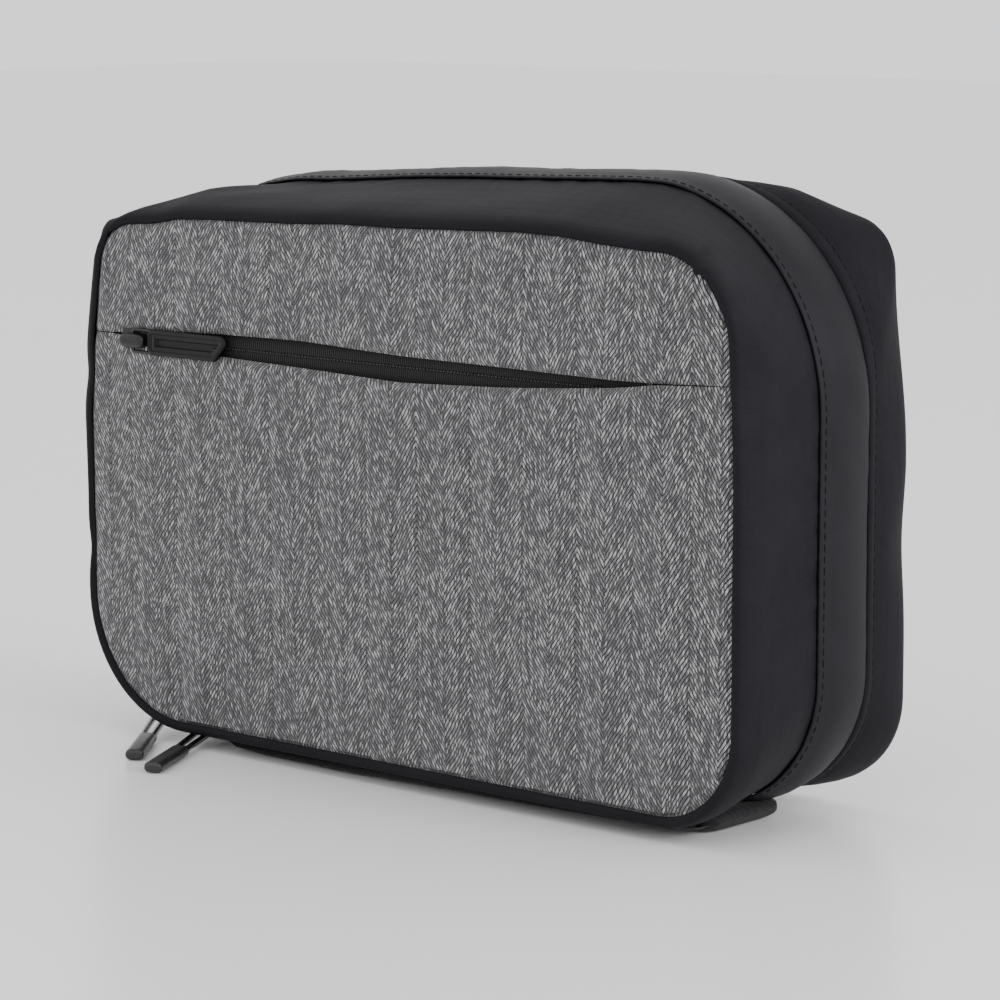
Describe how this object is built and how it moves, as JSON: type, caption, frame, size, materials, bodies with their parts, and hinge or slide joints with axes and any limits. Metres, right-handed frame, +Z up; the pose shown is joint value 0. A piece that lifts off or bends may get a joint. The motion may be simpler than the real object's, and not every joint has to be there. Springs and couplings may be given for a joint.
{
  "type": "cable organizer pouch",
  "caption": "Soft zipped pouch for cables: deep front tray with flat zip pocket, shallow hinged lid, two corner zip pulls and a strap handle that it stands on.",
  "frame": {"origin": "middle of the pouch's footprint box, at the height of the surface that the strap stands on", "axes": "+X to the right seen from the front, along the long side; +Y from the front panel to the back; +Z up"},
  "size_m": [0.2496, 0.1046, 0.1722],
  "materials": {
    "herringbone_fabric": "matte",
    "shell_nylon": "satin",
    "lining_fabric": "satin",
    "foam": "matte",
    "zip_tape": "matte",
    "zip_coil": "satin",
    "slider_metal": "gloss",
    "pull_rubber": "satin",
    "pull_cord": "gloss",
    "pull_sleeve": "satin",
    "elastic": "matte",
    "mesh": "matte",
    "binding": "matte",
    "handle_webbing": "matte",
    "hook_loop": "matte"
  },
  "bodies": {
    "tray": {"front_panel_upper": "herringbone_fabric", "front_panel_lower": "herringbone_fabric", "pocket_lining": "lining_fabric", "front_foam": "foam", "pocket_zip_tape_upper": "zip_tape", "pocket_zip_tape_lower": "zip_tape", "pocket_zip_coil_upper": "zip_coil", "pocket_zip_coil_lower": "zip_coil", "pocket_zip_stops": "zip_coil", "front_gusset": "shell_nylon", "tray_lining": "lining_fabric", "tray_binding": "binding", "zip_flap": "shell_nylon", "main_zip_tape_tray": "zip_tape", "main_zip_coil_tray": "zip_coil", "main_zip_coil_end": "zip_coil", "main_zip_stops": "zip_coil", "handle_leg_left": "handle_webbing", "handle_leg_right": "handle_webbing", "hinge_gusset": "shell_nylon", "divider_left": "lining_fabric", "divider_right": "lining_fabric", "divider_hook_left": "hook_loop", "divider_hook_right": "hook_loop", "slip_pocket": "lining_fabric"},
    "lid": {"rear_gusset": "shell_nylon", "rear_panel": "shell_nylon", "rear_foam": "foam", "lid_lining": "lining_fabric", "lid_binding": "binding", "main_zip_tape_lid": "zip_tape", "main_zip_coil_lid": "zip_coil", "mesh_pocket": "mesh", "mesh_binding": "binding", "cable_loops": "elastic", "hinge_gusset_lid": "shell_nylon"},
    "pocket_slider": {"pocket_slider": "slider_metal"},
    "pocket_puller": {"pocket_pull_link": "slider_metal", "pocket_pull_tab": "pull_rubber"},
    "main_slider_a": {"main_slider_a": "slider_metal", "pull_link_a": "slider_metal", "pull_cord_a": "pull_cord", "pull_sleeve_a": "pull_sleeve"},
    "main_slider_b": {"main_slider_b": "slider_metal", "pull_link_b": "slider_metal", "pull_cord_b": "pull_cord", "pull_sleeve_b": "pull_sleeve"},
    "handle_grip": {"handle_grip": "handle_webbing"}
  },
  "joints": [
    {"name": "lid_hinge", "type": "hinge", "parent": "tray", "child": "lid", "pos_m": [0, 0.01415, 0.0016], "axis": [-1, 0, 0], "range_deg": [0, 105]},
    {"name": "pocket_zip_slide", "type": "slide", "parent": "tray", "child": "pocket_slider", "axis": [1, 0, 0], "range_m": [0, 0.187]},
    {"name": "pocket_pull_swing", "type": "hinge", "parent": "pocket_slider", "child": "pocket_puller", "pos_m": [-0.1037, -0.03575, 0.12], "axis": [0, 0, -1], "range_deg": [0, 165]},
    {"name": "main_zip_a_travel", "type": "hinge", "parent": "tray", "child": "main_slider_a", "pos_m": [-0.0856, 0.01415, 0.043], "axis": [0, 1, 0], "range_deg": [0, 30]},
    {"name": "main_zip_b_travel", "type": "hinge", "parent": "tray", "child": "main_slider_b", "pos_m": [-0.0856, 0.01415, 0.043], "axis": [0, 1, 0], "range_deg": [-4, 0]},
    {"name": "handle_lift", "type": "slide", "parent": "tray", "child": "handle_grip", "axis": [0, 0, -1], "range_m": [0, 0.012]}
  ]
}
